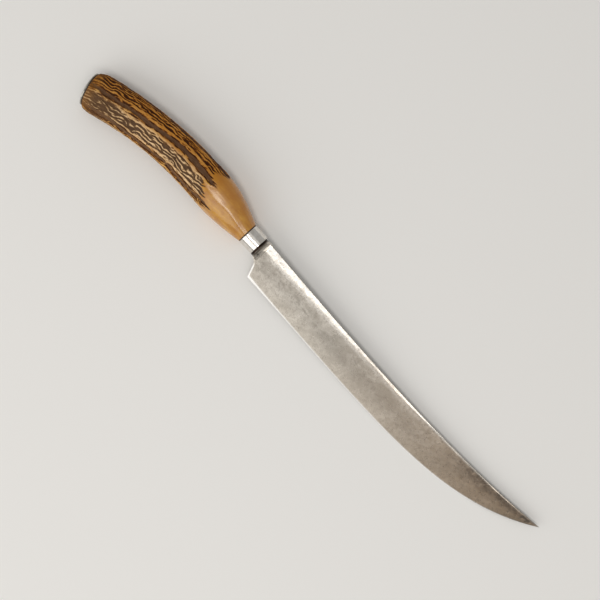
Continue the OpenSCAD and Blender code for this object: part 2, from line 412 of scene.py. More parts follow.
def antler_fields():
    """Relief in millimetres below the ridges, and what the material needs, on the handle's grid."""
    shape = (BARK_ROWS, BARK_COLS)
    x = np.linspace(HANDLE_FRONT, -HANDLE_END, BARK_ROWS)
    step = (float(x[0] - x[1]), GIRTH / BARK_COLS)
    up = np.arange(BARK_COLS) / BARK_COLS * 360 + math.degrees(LIE_ROLL)
    ragged = soft_noise(shape, step, 5, 2.0, 6)
    angle = up[None, :] + 2.2 * soft_noise(shape, step, 45, 1.0, 5) + 0.9 * ragged
    rear = np.repeat(smoothstep(REAR_FROM, REAR_TO, x)[:, None], BARK_COLS, 1)

    broad, bold, beside, knobbly = (np.zeros(shape) for _ in range(4))
    for depth, track in FURROWS:
        middle, half_width = along(track, x)
        broad = np.maximum(broad, depth * around(angle, middle, half_width, 0.75))
    for track in RIDGES:
        middle, half_width = along(track, x)
        bold = np.maximum(bold, around(angle, middle, half_width, 0.6))
        beside = np.maximum(beside, around(angle, middle, half_width + 4, 0.4))
    for middle, half_width in KNOBBLY:
        knobbly = np.maximum(knobbly, around(angle, middle, half_width, 0.4))
    beside = beside * (1 - bold)

    drift = 0.2 * soft_noise(shape, step, 14, 1.5, 7)
    more_ridge = 0.25 * around(angle, 50, 20, 0.6)
    lines = maze(shape, step, LINE_SPACING, spread=9, rounds=3, seed=11, pull=drift - 0.1 + more_ridge)
    worms = maze(shape, step, WORM_SPACING, spread=27, rounds=2, seed=13, pull=drift - 0.05)
    wormy = smoothstep(0.35, 0.65, knobbly * (1 - 0.45 * rear) + 0.12 * ragged)
    field = lines * (1 - wormy) + worms * wormy
    bends = 0.45 * soft_noise(shape, step, 11, 1.2, 15) + 0.2 * soft_noise(shape, step, 4, 1.5, 16)
    field = bend(field, bends / step[1])
    field = field + (0.85 - 0.4 * rear) * bold * (1 - field) - 0.35 * beside
    fissures = np.clip(soft_noise(shape, step, 1.0, 5.0, 21), -2, 2)
    depth = np.clip(0.5 - 0.5 * field + 0.10 * fissures, 0, 1)

    keep = 1 - smoothstep(0.2, 0.45, broad)
    relief = np.clip(keep * BARK_DEPTH * depth**1.3 + broad * (0.9 + 0.06 * fissures), 0, DEEPEST)
    in_furrow = smoothstep(0.2, 0.5, broad)
    depth = np.clip(np.maximum(depth * keep, in_furrow * (0.85 + 0.12 * fissures)), 0, 1)

    # The front was scraped to a smooth taper: the scraper ran out of the furrows, the deepest of them last
    ends = np.interp(angle % 360, *np.array(BARK_ENDS, float).T)
    cut = SCRAPE_DEPTH * smoothstep(ends - 6.5, ends + 1.5, x[:, None] + 0.4 * ragged)
    left = np.maximum(0, relief - cut)
    polish = (1 - smoothstep(0.0, 0.08, left)) * smoothstep(0.02, 0.2, cut)
    stain = np.clip(1 - (cut - relief) / 0.3, 0, 1) * smoothstep(0.2, 0.5, relief)
    scraped = 0.045 * np.clip(1 + soft_noise(shape, step, 6, 3.0, 41), 0, 2.5) * smoothstep(0.5, 1, cut)
    butt = smoothstep(-HANDLE_END + 2.5, -HANDLE_END, x)[:, None]
    near_butt = smoothstep(-HANDLE_END + 7, -HANDLE_END + 2, x[:, None] + ragged)
    calm = 1 - 0.3 * near_butt * around(angle, 70, 60, 0.5)
    relief = (left * calm + scraped) * (1 - butt) + 0.15 * butt
    return relief, {
        "depth": depth,
        "groove": in_furrow,
        "worm": np.clip(knobbly, 0, 1),
        "polish": polish,
        "shine": polish * smoothstep(-54, -34, x[:, None]),
        "stain": stain,
        "rear": rear * (1 - 0.8 * around(angle, 50, 42, 0.4)),
        # Painted shade: the side of the handle towards the blade's back is painted darker and more saturated.
        "spine_side_shade": around(angle, 25, 50, 0.5),
        "butt": np.repeat(smoothstep(-HANDLE_END + 7, -HANDLE_END + 1, x)[:, None], BARK_COLS, 1),
    }


def antler_rings(relief):
    """The handle's skin, lowered by the relief."""
    x = np.linspace(HANDLE_FRONT, -HANDLE_END, BARK_ROWS)[:, None]
    a = (np.arange(BARK_COLS) / BARK_COLS * 2 * math.pi)[None, :]
    across = (half_depth(x) - relief) * np.cos(a)
    turn = lean(x)
    return np.stack([x - across * np.sin(turn), centre_y(x) + across * np.cos(turn),
                     (half_thick(x) - relief) * np.sin(a)], -1)


def at_butt(rings):
    """Rings drawn about the middle of the butt, in the knife's frame."""
    turn = float(lean(np.array(-HANDLE_END)))
    x, y, z = rings[..., 0], rings[..., 1], rings[..., 2]
    cos, sin = math.cos(turn), math.sin(turn)
    butt_y = float(centre_y(np.array(-HANDLE_END)))
    return np.stack([-HANDLE_END + x * cos - y * sin, butt_y + x * sin + y * cos, z], -1)


def make_handle():
    relief, fields = antler_fields()
    skin = antler_rings(relief)
    front = lathe_rings([(TANG_BORE_END, TANG_BORE_R * 0.5), (TANG_BORE_END, TANG_BORE_R),
                         (TENON_FRONT, TANG_BORE_R), (TENON_FRONT, TENON_R),
                         (HANDLE_FRONT, TENON_R)], BARK_COLS)
    back = at_butt(lathe_rings([(0, SPIKE_BORE_R), (SPIKE_LEN + 1, SPIKE_BORE_R),
                                (SPIKE_LEN + 1, SPIKE_BORE_R * 0.5)], BARK_COLS))
    rings = np.concatenate([front, skin, back])
    values = {}
    for key, field in fields.items():
        first, last = np.repeat(field[:1], len(front), 0), np.repeat(field[-1:], len(back), 0)
        values[key] = np.concatenate([first, field, last])
    # Share of the texture space that each bore takes
    inner = 0.02
    u = np.concatenate([np.linspace(0, inner, len(front)), np.linspace(inner, 1 - inner, BARK_ROWS),
                        np.linspace(1 - inner, 1, len(back))])
    piece = ring_mesh("antler_handle", rings, values, sharp=55, uv_rows=u)
    piece.data.materials.append(antler_material())
    return place(piece, "handle")


def bark_colour(n, depth, fine):
    """Bark from its pale tops through its slopes to the dark bottoms of its furrows."""
    groove, worm, rear = n.attribute("groove"), n.attribute("worm"), n.attribute("rear")
    spine_side_shade, butt = n.attribute("spine_side_shade"), n.attribute("butt")
    patches = n.ramp(n.noise(n.place_in_mm(), 0.16, 3), (0.38, 0.0), (0.66, 1.0))
    ochre = n.mix(patches, (0.46, 0.190, 0.030), (0.74, 0.420, 0.125))
    # Painted shade on the side towards the blade's back: darker, more saturated ochre, slopes and lows.
    ochre = n.tint(ochre, (0.58, 0.245, 0.038), spine_side_shade, 0.8)
    pale = n.mix(fine, (0.57, 0.340, 0.150), (1.0, 0.720, 0.425))
    top = n.mix(worm, ochre, pale)
    slope = n.mix(worm, (0.180, 0.060, 0.008), (0.190, 0.105, 0.045))
    slope = n.tint(slope, (0.200, 0.060, 0.006), spine_side_shade)
    warm_low = n.mix(fine, (0.030, 0.007, 0.001), (0.080, 0.024, 0.004))
    worm_low = n.mix(fine, (0.070, 0.034, 0.016), (0.145, 0.081, 0.043))
    grey_low = n.mix(fine, (0.110, 0.054, 0.025), (0.215, 0.120, 0.064))
    low = n.mix(worm, warm_low, worm_low)
    low = n.mix(groove, low, grey_low)
    low = n.tint(low, (0.050, 0.013, 0.002), spine_side_shade, 0.85)
    bark = n.mix(n.ramp(depth, (0.14, 0.0), (0.38, 1.0)), top, slope)
    bark = n.mix(n.ramp(depth, (0.38, 0.0), (0.62, 1.0)), bark, low)
    bark = n.tint(bark, (0.140, 0.072, 0.030), rear, 0.42)
    return n.tint(bark, (0.400, 0.175, 0.032), butt, 0.25)


def amber_colour(n, where):
    """The scraped and polished front, streaked along the handle."""
    streaks = n.ramp(n.noise(n.place_in_mm(scale=(0.05, 0.5, 0.5)), 1.0, 3), (0.3, 0.0), (0.7, 1.0))
    blush = n.ramp(n.noise(where, 0.20, 4, 0.6), (0.42, 0.0), (0.66, 0.7))
    amber = n.mix(streaks, (0.47, 0.195, 0.012), (0.65, 0.330, 0.038))
    amber = n.tint(amber, (0.42, 0.160, 0.012), blush)
    # Painted shade on the side towards the blade's back.
    amber = n.tint(amber, (0.46, 0.165, 0.006), n.attribute("spine_side_shade"), 0.6)
    return n.tint(amber, (0.26, 0.095, 0.016), n.attribute("stain"), 0.5)


def antler_material():
    n = Nodes("antler")
    where = n.place_in_mm()
    polish = n.attribute("polish")
    fine = n.ramp(n.noise(n.place_in_mm(scale=(0.18, 1, 1)), 1.5, 4, 0.65), (0.32, 0.0), (0.68, 1.0))
    grit = n.ramp(n.noise(where, 1.1, 4, 0.7), (0.34, 0.0), (0.66, 1.0))
    mottle = n.math("ADD", n.math("MULTIPLY", fine, 0.22), n.math("MULTIPLY", grit, 0.24))
    depth = n.math("ADD", n.attribute("depth"), n.math("SUBTRACT", mottle, 0.22), clamp=True)
    depth = n.math("ADD", depth, n.math("MULTIPLY", n.attribute("worm"), 0.02), clamp=True)
    colour = n.mix(polish, bark_colour(n, depth, fine), amber_colour(n, where))
    n.set(Base_Color=colour, Roughness=n.ramp(polish, (0.0, 0.62), (1.0, 0.40)), IOR=1.52,
          Specular_IOR_Level=0.10, Coat_Weight=n.attribute("shine"), Coat_Roughness=0.22, Coat_IOR=1.7)
    rough_bark = n.math("MULTIPLY_ADD", polish, -0.45)
    rough_bark.node.inputs[2].default_value = 0.5
    relief = n.bump(mottle, rough_bark, 0.0006)
    n.set(Normal=n.bump(n.noise(where, 0.7, 3), 0.05, 0.0003, relief))
    return n.material


# ---- blade ----

CHOIL_ROWS, BLADE_ROWS = 46, 590
BEVEL = math.radians(20)
SWAGE = math.radians(8)
SWAGE_NARROW, SWAGE_WIDER, SWAGE_RUN = 0.6, 4.3, 60.0
EDGE_HALF = 0.06
# Where the flat of the side turns in to the edge, as a share of the blade's depth
CREASE = 0.45
CHOIL_BEVEL = 0.95
BACK_ROUND = 0.15
RIM_ROUND = 0.4
# One knock in the hollow next to the collar: where it is and its size
KNOCK_AT, KNOCK_SIZE = (2.1, -3.6), 0.7
# Where the rows of the grid that run to the back pass from the choil to the blade
ROWS_TURN_X = 11.0
# Heights of the slow waves and the short ripples on the sides, and the depth of the pits
WAVE, RIPPLE, PIT_DEPTH = 0.013, 0.003, 0.05

TIP = (BLADE_LEN, TIP_RISE)
BELLY = (105.0, -EDGE_DROP)
BACK_ROOT = (0.0, BACK_RISE)
# Directions of the outline at its ends, in degrees, and how far each end pulls along its own direction
BACK_ROOT_ANGLE, BACK_TIP_ANGLE, EDGE_TIP_ANGLE, HEEL_ANGLE = -2.7, 7.5, 36, -0.6
BACK_ROOT_PULL, BACK_TIP_PULL = BLADE_LEN / 2, BLADE_LEN / 4
HEEL_PULL, BELLY_REAR_PULL, BELLY_FRONT_PULL, EDGE_TIP_PULL = 28, 33, 38, 46


def toward(point, length, angle):
    """The control point that lies at this distance and angle from an end of a curve."""
    turn = math.radians(angle)
    return (point[0] + length * math.cos(turn), point[1] + length * math.sin(turn))


BACK_CURVE = bezier(BACK_ROOT, toward(BACK_ROOT, BACK_ROOT_PULL, BACK_ROOT_ANGLE),
                    toward(TIP, -BACK_TIP_PULL, BACK_TIP_ANGLE), TIP, 200)
EDGE_REAR = bezier(HEEL, toward(HEEL, HEEL_PULL, HEEL_ANGLE), toward(BELLY, -BELLY_REAR_PULL, 0), BELLY, 100)
EDGE_FRONT = bezier(BELLY, toward(BELLY, BELLY_FRONT_PULL, 0),
                    toward(TIP, -EDGE_TIP_PULL, EDGE_TIP_ANGLE), TIP, 200)
EDGE_CURVE = np.vstack([EDGE_REAR, EDGE_FRONT[1:]])
CHOIL_CURVE = bezier((BOLSTER_FRONT, BOLSTER_Y - BOLSTER_R), (4.2, -7.6), (4.9, -10.9), HEEL, CHOIL_ROWS)


def back_y(x):
    bolster_top = BOLSTER_Y + BOLSTER_R
    return bolster_top + (np.interp(x, *BACK_CURVE.T) - bolster_top) * smoothstep(BOLSTER_FRONT, 2.6, x)


def edge_y(x):
    return np.interp(x, *EDGE_CURVE.T)


def soft_min(a, b, width):
    """The smaller of two heights, with the corner between them rounded off."""
    near = np.clip(0.5 + 0.5 * (b - a) / width, 0, 1)
    return b + (a - b) * near - width * near * (1 - near)


def swage_width(x):
    """Width of the narrow band that is ground off along the back."""
    return SWAGE_NARROW + SWAGE_WIDER * np.exp(-x / SWAGE_RUN)


def ridge_y(x):
    waver = 0.22 * np.sin(x / 17) + 0.12 * np.sin(x / 6.1 + 1)
    return back_y(x) - swage_width(x) - waver * (1 - smoothstep(80, 150, x))


def edge_z(x):
    """Half thickness just above the sharpened bevel: the bevel is wide at the heel, then a bare line."""
    return 0.08 + 0.57 * np.exp(-(x - HEEL[0]) / 20) + 0.08 * smoothstep(115, 150, x)


def side_z(x, y):
    """Half thickness of the blade between its bevels and its back."""
    plate = np.minimum(SIDE_Z - x * SIDE_FALL + y * SIDE_RISE, 0.1 + 0.05 * (BLADE_LEN - x))
    low, high = edge_y(x), back_y(x)
    crease = low + CREASE * (high - low)
    at_crease = SIDE_Z - x * SIDE_FALL + crease * SIDE_RISE
    share = (y - low) / np.maximum(crease - low, 0.01)
    body = soft_min(plate, edge_z(x) + (at_crease - edge_z(x)) * share, 0.06)
    ridge = ridge_y(x)
    at_ridge = SIDE_Z - x * SIDE_FALL + ridge * SIDE_RISE
    swage = at_ridge - (y - ridge) * math.tan(SWAGE) * (1 - smoothstep(185, 216, x))
    least = 0.08 + 0.26 * (1 - np.exp(-(BLADE_LEN - x) / 5))
    return np.maximum(soft_min(body, swage, 0.24 - 0.20 * smoothstep(55, 140, x)), np.minimum(least, body))


def choil_gap(x, y):
    """Distance from the outline between the collar and the heel."""
    outline = np.interp(-y, -CHOIL_CURVE[:, 1], CHOIL_CURVE[:, 0])
    return np.where(y < CHOIL_CURVE[0, 1], (x - outline) * 0.95, BLADE_LEN)


def half_z(x, y, high_gap):
    """Half thickness everywhere on the blade. high_gap is the distance to the outline of the back."""
    z = side_z(x, y)
    gap = np.maximum(y - edge_y(x), 0)
    z = np.minimum(z, EDGE_HALF + gap * math.tan(BEVEL))
    z = z - np.maximum(0, CHOIL_BEVEL - choil_gap(x, y)) * math.tan(BEVEL) * smoothstep(2.0, 4.0, x)
    inner = np.clip(BACK_ROUND - high_gap, 0, BACK_ROUND)
    z = z - np.minimum(BACK_ROUND - np.sqrt(BACK_ROUND**2 - inner**2), 0.8 * z)
    return np.maximum(z, 0.02)


def bolster_z(x, y):
    """Half thickness of the round collar and of the hollow that runs down from it to the blade's sides."""
    disc = np.sqrt(np.maximum(0, BOLSTER_R**2 - (y - BOLSTER_Y) ** 2))
    reach = BOLSTER_FRONT + COVE_R
    t = np.clip((x - BOLSTER_FRONT) / (reach - BOLSTER_FRONT), 0, 1)
    cove = SIDE_Z - 0.6 + (BOLSTER_R - SIDE_Z + 0.6) * (1 - np.sqrt(1 - (1 - t) ** 2))
    return np.where(t < 1, np.minimum(disc, cove), 0)


def blade_lines():
    """Where each row of the blade's grid starts on the lower outline and ends on the back."""
    collar_x = np.linspace(BOLSTER_BACK, BOLSTER_FRONT, 13)[:-1]
    low = [np.stack([collar_x, np.full_like(collar_x, BOLSTER_Y - BOLSTER_R)], 1), CHOIL_CURVE[:-1]]
    high = [collar_x, np.linspace(BOLSTER_FRONT, ROWS_TURN_X, CHOIL_ROWS + 1)[:-1]]
    share = np.linspace(0, 1, BLADE_ROWS)
    share = share - 0.06 * np.sin(math.pi * share) / math.pi
    low_x = HEEL[0] + (BLADE_LEN - 0.15 - HEEL[0]) * share
    low.append(np.stack([low_x, edge_y(low_x)], 1))
    high.append(ROWS_TURN_X + (BLADE_LEN - 0.1 - ROWS_TURN_X) * share)
    high_x = np.concatenate(high)
    return np.concatenate(low), np.stack([high_x, back_y(high_x)], 1)


def column_shares():
    """Places across the blade: bevel, lower side, upper side, swage and rounded back, each from 0 to 1."""
    return [np.linspace(0, 1, n + 1)[:-1] for n in (5, 18, 22, 10)] + [np.linspace(0, 1, 6)]


def blade_grid():
    """x and y of the blade's grid: rows from the bolster to the tip, columns from the edge to the back."""
    low, high = blade_lines()
    span = np.hypot(*(high - low).T)
    x_mid = low[:, 0]
    bevel = np.minimum((edge_z(x_mid) - EDGE_HALF) / math.tan(BEVEL), 0.3 * span)
    back = np.minimum(BACK_ROUND, 0.12 * span)
    crease = np.maximum(CREASE * span, bevel * 1.2)
    ridge = span - np.minimum(swage_width(high[:, 0]) + back, 0.75 * (span - crease))
    stops = [np.zeros_like(span), bevel, crease, ridge, span - back, span]
    shares = column_shares()
    runs = [stops[k][:, None] + (stops[k + 1] - stops[k])[:, None] * shares[k][None, :] for k in range(5)]
    gap = np.concatenate(runs, 1)
    across = gap / span[:, None]

    # On the collar the columns follow the round instead
    even = np.linspace(0, 1, gap.shape[1])[None, :]
    on_round = 0.5 - 0.5 * np.cos(math.pi * even)
    merge = smoothstep(BOLSTER_FRONT, BOLSTER_FRONT + 3.0, high[:, 0])[:, None]
    across = on_round * (1 - merge) + across * merge
    x = low[:, :1] + (high[:, :1] - low[:, :1]) * across
    y = low[:, 1:] + (high[:, 1:] - low[:, 1:]) * across
    low_gap = across * span[:, None]
    return x, y, low_gap, span[:, None] - low_gap


def pits(x, y, seed, count=260):
    """Small rust pits, most of them along the back towards the tip: their depth, and how dark they are."""
    rng = np.random.default_rng(seed)
    depth = np.zeros_like(x)
    for _ in range(count):
        px = BLADE_LEN * (1 - rng.random() ** 2.3) * 0.97
        share = rng.random() ** (1.0 + px / 80)
        top, bottom = float(back_y(np.array(px))), float(edge_y(np.array(px)))
        py = top - 1.2 - (top - bottom - 2.4) * share
        size = 0.18 + 0.42 * rng.random() ** 2
        amount = (0.3 + 0.7 * rng.random()) * (0.35 + 0.65 * float(smoothstep(90, 180, px)))
        rows = np.abs(x[:, 0] - px) < 8
        depth[rows] += amount * np.exp(-(((x[rows] - px) / (size * 1.3)) ** 2 + ((y[rows] - py) / size) ** 2))
    return depth


def knock(x, y):
    """One dark knock in the hollow next to the collar."""
    return np.exp(-((x - KNOCK_AT[0]) ** 2 + (y - KNOCK_AT[1]) ** 2) / KNOCK_SIZE**2)


def cove_highlight_mask(x, y):
    """1 in the hollow between collar and side, which reaches farther at its upper end: where the hollow gets
    its painted highlight.
    """
    upper = smoothstep(-1.5, 2.5, y)
    return smoothstep(0.3, 1.6, x) * (1 - smoothstep(1.5 + 1.5 * upper, 2.7 + 2.7 * upper, x))


def mirrored(field):
    """A field of the upper side, followed by the same one for the lower side."""
    return np.concatenate([field, field[:, ::-1]], 1)


def make_blade():
    x, y, low_gap, high_gap = blade_grid()
    plate = half_z(x, y, high_gap) * smoothstep(-0.2, 1.0, x)
    collar = bolster_z(x, y)
    blend = 1.3
    apart = plate - collar
    thin = np.minimum(1, np.minimum(plate, collar))
    base = 0.5 * (plate + collar + np.sqrt(apart**2 + blend**2 * thin**2))
    shape = x.shape
    step = (0.37, 0.4)
    flat = smoothstep(0.3, 1.5, low_gap) * smoothstep(0.2, 1.0, high_gap) * smoothstep(3.0, 6.0, x)
    sides, marks = [], []
    for seed in (1, 2):
        waves = WAVE * soft_noise(shape, step, 17, 1.5, 100 + seed)
        waves = waves + RIPPLE * soft_noise(shape, step, 4, 1.5, 200 + seed)
        pit = pits(x, y, 300 + seed)
        sides.append(base + flat * (waves - PIT_DEPTH * np.clip(pit, 0, 1.5)))
        marks.append(np.clip(pit, 0, 1))
    upper = np.stack([x, y, sides[0]], -1)
    lower = np.stack([x, y, -sides[1]], -1)
    rings = np.concatenate([upper, lower[:, ::-1]], 1)
    both = {
        "pit": np.concatenate([marks[0], marks[1][:, ::-1]], 1),
        "blade_x": mirrored(x) / BLADE_LEN,
        "across": mirrored(low_gap / (low_gap + high_gap)),
        "collar_dark_hollow_shade": mirrored(collar_dark_and_hollow_shade(x)),
        "cove": mirrored(cove_highlight_mask(x, y)),
        "knock": np.concatenate([knock(x, y), np.zeros_like(x)], 1),
        "swage": mirrored(on_swage(x, y)),
        "swage_sheen": mirrored(below_swage_sheen(x, y)),
        "bevel": mirrored(on_bevel(x, y)),
    }
    rim = np.clip(RIM_ROUND - (rings[..., 0] - BOLSTER_BACK), 0, RIM_ROUND)
    shrink = 1 - (RIM_ROUND - np.sqrt(RIM_ROUND**2 - rim**2)) / BOLSTER_R
    rings[..., 1] = BOLSTER_Y + (rings[..., 1] - BOLSTER_Y) * shrink
    rings[..., 2] = rings[..., 2] * shrink
    tang = tang_rings(rings.shape[1], rings[0])
    rings = np.concatenate([tang, rings])
    values = {k: np.concatenate([np.repeat(v[:1], len(tang), 0), v]) for k, v in both.items()}

    u = np.concatenate([np.linspace(0, 0.02, len(tang)), 0.02 + 0.98 * np.linspace(0, 1, len(x))])
    middle = rings[300]
    widths = np.hypot(np.diff(middle[:, 1], append=middle[0, 1]), np.diff(middle[:, 2], append=middle[0, 2]))
    v = np.concatenate([[0], np.cumsum(widths)]) / widths.sum()
    piece = ring_mesh("forged_blade", rings, values, sharp=11, uv_rows=u, uv_cols=v)
    piece.data.materials.append(steel_material())
    return place(piece, "blade")


def on_bevel(x, y):
    """1 on the sharpened edge and on the small bevel of the choil."""
    wide = (edge_z(x) - EDGE_HALF) / math.tan(BEVEL)
    edge = 1 - smoothstep(0.8 * wide, 1.1 * wide + 0.05, y - edge_y(x))
    choil = 1 - smoothstep(0.8 * CHOIL_BEVEL, 1.1 * CHOIL_BEVEL, choil_gap(x, y))
    return np.maximum(choil * smoothstep(3.6, 5.6, x), edge * smoothstep(6.5, 7.5, x))


def on_swage(x, y):
    """1 on the narrow ground band along the back, 0 below it."""
    ridge = ridge_y(x)
    soft = 0.4 + 1.1 * (1 - smoothstep(60, 140, x))
    fade = 1 - 0.75 * smoothstep(120, 215, x)
    return smoothstep(ridge - soft, ridge + soft, y) * smoothstep(3.0, 5.0, x) * fade


def below_swage_sheen(x, y):
    """1 along the line just below the ground band, where a painted highlight lightens the steel as the soft
    fall-off of the band's sheen.
    """
    below = ridge_y(x) - y
    return np.exp(-(((below - 1.2) / 1.0) ** 2)) * smoothstep(6.0, 12.0, x) * (1 - smoothstep(125, 160, x))


def collar_dark_and_hollow_shade(x):
    """How dark the collar and the hollow in front of it are painted: darkest on the collar, then a painted
    shade that fades down the hollow.
    """
    return 1 - 0.45 * smoothstep(-0.1, 0.9, x) - 0.55 * smoothstep(0.3, 1.5, x)


def tang_rings(cols, collar):
    """The hidden tang: a tapered square bar, from its end up to the back of the collar."""
    angle = np.arctan2(collar[:, 2], collar[:, 1] - BOLSTER_Y)
    rings = []
    stations = ((BOLSTER_BACK - TANG_LEN, TANG_END), (BOLSTER_BACK, TANG_ROOT))
    for x, (deep, thick) in stations:
        reach = 1 / np.maximum(np.abs(np.cos(angle)) / deep, np.abs(np.sin(angle)) / thick)
        rings.append(np.stack([np.full(cols, x), reach * np.cos(angle), reach * np.sin(angle)], -1))
    return np.stack(rings)


def steel_tones(n, where):
    """The worn steel of the sides, with its darker middle, smudges, brown tip and stained back, and a painted
    highlight below the ground band.
    """
    along_blade, across = n.attribute("blade_x"), n.attribute("across")
    blotches = n.noise(n.place_in_mm(scale=(0.6, 1, 1)), 0.085, 4, 0.6, 0.4)
    clouds = n.noise(where, 0.42, 5, 0.65)
    smudges = n.ramp(n.noise(n.place_in_mm(scale=(0.7, 1, 1)), 0.30, 5, 0.72, 0.6), (0.50, 0.0), (0.62, 0.75))
    upper_half = n.ramp(across, (0.25, 0.15), (0.55, 1.0), (0.85, 0.5))
    clean, worn = (0.49, 0.457, 0.410), (0.31, 0.283, 0.247)
    low_tone, middle_tone, smudge_tone = (0.48, 0.440, 0.382), (0.28, 0.257, 0.226), (0.215, 0.195, 0.170)
    swage_tone, swage_sheen_tone, cloud_tone = (0.40, 0.39, 0.375), (0.69, 0.66, 0.62), (0.285, 0.258, 0.224)
    brown_tone, stain_tone = (0.265, 0.190, 0.125), (0.110, 0.083, 0.062)

    steel = n.mix(n.ramp(blotches, (0.38, 0.0), (0.62, 1.0)), clean, worn)
    steel = n.tint(steel, low_tone, n.ramp(across, (0.10, 0.6), (0.45, 0.0)))
    steel = n.tint(steel, middle_tone, n.ramp(across, (0.25, 0.0), (0.52, 0.4), (0.82, 0.0)))
    steel = n.tint(steel, smudge_tone, n.math("MULTIPLY", smudges, upper_half))
    steel = n.tint(steel, swage_tone, n.attribute("swage"), 0.85)
    # Painted highlight: the steel just below the ground band is painted lighter.
    steel = n.tint(steel, swage_sheen_tone, n.attribute("swage_sheen"), 0.5)
    steel = n.tint(steel, cloud_tone, n.ramp(clouds, (0.46, 0.0), (0.68, 0.65)))
    steel = n.tint(steel, brown_tone, n.ramp(along_blade, (0.30, 0.0), (0.85, 1.0)), 0.8)
    upper = n.ramp(across, (0.40, 0.0), (0.80, 1.0))
    front = n.ramp(along_blade, (0.66, 0.0), (0.80, 1.0))
    near_back = n.math("MULTIPLY", upper, front)
    stain = n.ramp(n.noise(where, 0.28, 5, 0.7), (0.34, 0.25), (0.56, 1.0))
    return n.tint(steel, stain_tone, n.math("MULTIPLY", near_back, stain))


def steel_marks(n, where, steel):
    """The specks, scuffs, bright edges, pits and knock that lie over the steel, with the painted highlights
    in the hollow by the collar and along the back towards the tip, and the dark collar with painted shade
    fading down the hollow.
    """
    along_blade, swage = n.attribute("blade_x"), n.attribute("swage")
    speckle = n.noise(where, 1.5, 4, 0.75)
    scuffs = n.noise(n.place_in_mm(scale=(0.05, 1.7, 1), turn=35), 1.0, 4, 0.6, 0.6)
    tip_back_highlight = n.math("MULTIPLY", swage, n.ramp(along_blade, (0.48, 0.0), (0.62, 0.9)))
    speck_tone, tip_back_highlight_tone, scuff_tone = (0.19, 0.168, 0.145), (0.56, 0.53, 0.49), (0.62, 0.585, 0.54)
    bevel_tone, pit_tone, cove_highlight_tone = (0.80, 0.785, 0.76), (0.10, 0.085, 0.07), (0.76, 0.70, 0.62)
    knock_tone, collar_dark_shade_tone = (0.07, 0.06, 0.05), (0.026, 0.015, 0.010)

    steel = n.tint(steel, speck_tone, n.ramp(speckle, (0.53, 0.0), (0.68, 0.80)))
    # Painted highlight: a lighter line along the ground band towards the tip.
    steel = n.tint(steel, tip_back_highlight_tone, tip_back_highlight)
    steel = n.tint(steel, scuff_tone, n.ramp(scuffs, (0.62, 0.0), (0.72, 0.14)))
    steel = n.tint(steel, bevel_tone, n.attribute("bevel"), 0.9)
    steel = n.tint(steel, pit_tone, n.attribute("pit"), 0.8)
    # Painted highlight: the hollow between collar and side is painted lighter.
    steel = n.tint(steel, cove_highlight_tone, n.attribute("cove"), 0.8)
    steel = n.tint(steel, knock_tone, n.attribute("knock"), 0.85)
    # The collar is painted dark, and a painted shade fades from it down the hollow.
    return n.tint(steel, collar_dark_shade_tone, n.attribute("collar_dark_hollow_shade"))


def steel_material():
    n = Nodes("patinated_steel")
    where = n.place_in_mm()
    steel = steel_marks(n, where, steel_tones(n, where))
    rough = n.ramp(n.noise(where, 0.5, 4, 0.6), (0.3, 0.25), (0.7, 0.34))
    pitted_rough = (0.6, 0.6, 0.6)
    n.set(Base_Color=steel, Metallic=1.0, Roughness=n.mix(n.attribute("pit"), rough, pitted_rough))
    polish_lines = n.noise(n.place_in_mm(scale=(0.03, 1, 1)), 5.0, 3, 0.7)
    scratches = n.noise(where, 2.6, 2, 0.8, 1.5)
    lines = n.bump(polish_lines, 0.10, 0.0001)
    n.set(Normal=n.bump(scratches, 0.05, 0.0001, lines))
    return n.material


# ---- ferrule, cap, spike and cement ----


def make_ferrule():
    bore = FERRULE_R - FERRULE_WALL
    round_r = 0.28
    corner = [(1 - math.cos(t), math.sin(t)) for t in np.linspace(0, math.pi / 2, 7)]
    front = [(BOLSTER_BACK - round_r + round_r * s, FERRULE_R - round_r * c) for c, s in corner]
    back = [(FERRULE_BACK + round_r - round_r * s, FERRULE_R - round_r * c) for c, s in reversed(corner)]
    middle = [(x, FERRULE_R) for x in np.linspace(FERRULE_BACK + round_r, BOLSTER_BACK - round_r, 40)[1:-1]]
    profile = [(BOLSTER_BACK, bore), (FERRULE_BACK, bore)] + back + middle + front
    rings = lathe_rings(profile, 160)
    dents = soft_noise(rings.shape[:2], (0.23, 0.26), 3.5, 1.2, 41)
    dented = 1 - 0.0012 * dents
    outer = (np.hypot(rings[..., 1], rings[..., 2]) > FERRULE_R - 0.02)[..., None]
    rings = rings * np.where(outer, np.stack([np.ones_like(dents), dented, dented], -1), 1)
    piece = ring_mesh("ferrule_tube", rings, closed=False, sharp=40)
    piece.data.materials.append(white_metal_material("ferrule_metal", (0.82, 0.79, 0.75), (0.64, 0.59, 0.52)))
    return place(piece, "ferrule")


def make_cap():
    def dome(radius, rise, steps):
        ball = (radius**2 + rise**2) / (2 * rise)
        top = math.asin(radius / ball)
        turns = np.linspace(0.02, 1, steps) * top
        return [(-CAP_RIM - rise + ball * (1 - math.cos(t)), ball * math.sin(t)) for t in turns]

    crown = -CAP_RIM - CAP_DOME + CAP_WALL + SPIKE_PAD
    inner = dome(CAP_R - CAP_WALL, CAP_DOME - CAP_WALL, 14)
    inside = [(crown, 0.2)] + [(x, r) for x, r in inner if x > crown] + [(0.0, CAP_R - CAP_WALL)]
    outside = [(0.0, CAP_R - 0.15), (-0.15, CAP_R)] + [(x, r) for x, r in reversed(dome(CAP_R, CAP_DOME, 40))]
    rings = at_butt(lathe_rings([(x - SEAM, r) for x, r in inside + outside], 128))
    piece = ring_mesh("domed_cap", rings, sharp=35)
    piece.data.materials.append(white_metal_material("cap_metal", (0.42, 0.405, 0.36), (0.29, 0.265, 0.215)))
    return place(piece, "butt_cap")


